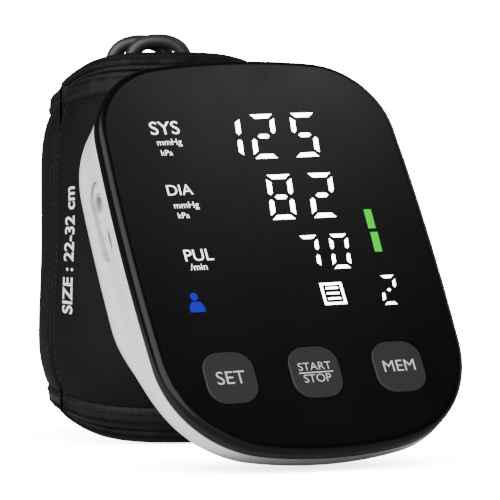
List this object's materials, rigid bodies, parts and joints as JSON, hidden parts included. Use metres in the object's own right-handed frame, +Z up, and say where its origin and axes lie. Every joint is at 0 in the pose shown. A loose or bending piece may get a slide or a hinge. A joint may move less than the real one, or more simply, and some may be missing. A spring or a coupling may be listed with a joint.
{
  "type": "blood pressure monitor with rolled arm cuff",
  "caption": "Upper-arm blood pressure monitor with a leaning black display face, keys and white case, on its rolled fabric cuff with stowed air hose.",
  "frame": {"origin": "on the floor, under the middle of the monitor and cuff together, hose left out", "axes": "+Z up, the display faces -Y, +X to the right of someone facing the display"},
  "size_m": [0.1112, 0.1919, 0.1422],
  "materials": {
    "black_panel": "polished black window panel with a rounded edge",
    "trim_grey": "thin grey seam ring",
    "white_case": "satin moulded white plastic",
    "grey_rubber": "soft foot rubber",
    "cell_wrap": "plain foil wrap on steel cells",
    "plated_steel": "nickel plated steel",
    "circuit_board": "solder mask green",
    "display_black": "black potting with lit bars",
    "key_grey": "fine grained dark grey key",
    "inner_black": "moulded black plastic",
    "clear_tube": "milky silicone tube",
    "nylon": "tightly woven black nylon with a slight sheen",
    "lining": "smooth black lining",
    "bladder_film": "welded film",
    "padding": "thin foam",
    "binding_tape": "ribbed black binding tape",
    "loop_pile": "brushed loop pile",
    "hook_pile": "moulded hooks",
    "hose_rubber": "smooth black rubber hose"
  },
  "bodies": {
    "cuff": {"cuff_shell": "nylon", "cuff_lining": "lining", "bladder": "bladder_film", "tail_padding": "padding", "lower_binding": "binding_tape", "upper_binding": "binding_tape", "outer_wrap": "nylon", "wrap_bindings": "binding_tape", "loop_patch": "loop_pile", "metal_bar": "plated_steel", "bar_tape": "binding_tape", "hose_elbow": "inner_black", "air_hose": "hose_rubber", "hose_plug": "inner_black"},
    "flap": {"flap": "nylon", "flap_bindings": "binding_tape", "hook_patch": "hook_pile"},
    "monitor": {"front_cover": "black_panel", "trim_ring": "trim_grey", "rear_housing": "white_case", "rubber_feet": "grey_rubber", "battery_tray": "white_case", "batteries": "cell_wrap", "battery_contacts": "plated_steel", "main_board": "circuit_board", "display_module": "display_black", "tact_switches": "plated_steel", "pump_motor": "plated_steel", "pump_head": "inner_black", "release_valve": "inner_black", "pressure_sensor": "inner_black", "air_cross": "inner_black", "air_tubes": "clear_tube", "air_jack": "inner_black", "power_port": "plated_steel", "case_screws": "plated_steel"},
    "set_key": {"set_key": "key_grey"},
    "start_stop_key": {"start_stop_key": "key_grey"},
    "memory_key": {"memory_key": "key_grey"},
    "battery_door": {"battery_door": "white_case"}
  },
  "joints": [
    {"name": "monitor_lift", "type": "slide", "parent": "cuff", "child": "monitor", "axis": [0, 0, 1], "range_m": [0, 0.15]},
    {"name": "flap_fold", "type": "hinge", "parent": "cuff", "child": "flap", "pos_m": [-0.04237, 0.04583, 0.0645], "axis": [0, 0, 1], "range_deg": [0, 80]},
    {"name": "set_key_press", "type": "slide", "parent": "monitor", "child": "set_key", "axis": [0, 0.8508, -0.5255], "range_m": [0, 0.0007], "stiffness_N_per_m": 200, "springref_m": -0.0005},
    {"name": "start_stop_key_press", "type": "slide", "parent": "monitor", "child": "start_stop_key", "axis": [0, 0.8508, -0.5255], "range_m": [0, 0.0007], "stiffness_N_per_m": 200, "springref_m": -0.0005},
    {"name": "memory_key_press", "type": "slide", "parent": "monitor", "child": "memory_key", "axis": [0, 0.8508, -0.5255], "range_m": [0, 0.0007], "stiffness_N_per_m": 200, "springref_m": -0.0005},
    {"name": "battery_door_slide", "type": "slide", "parent": "monitor", "child": "battery_door", "axis": [0.0384, -0.5251, -0.8502], "range_m": [0, 0.012]}
  ]
}
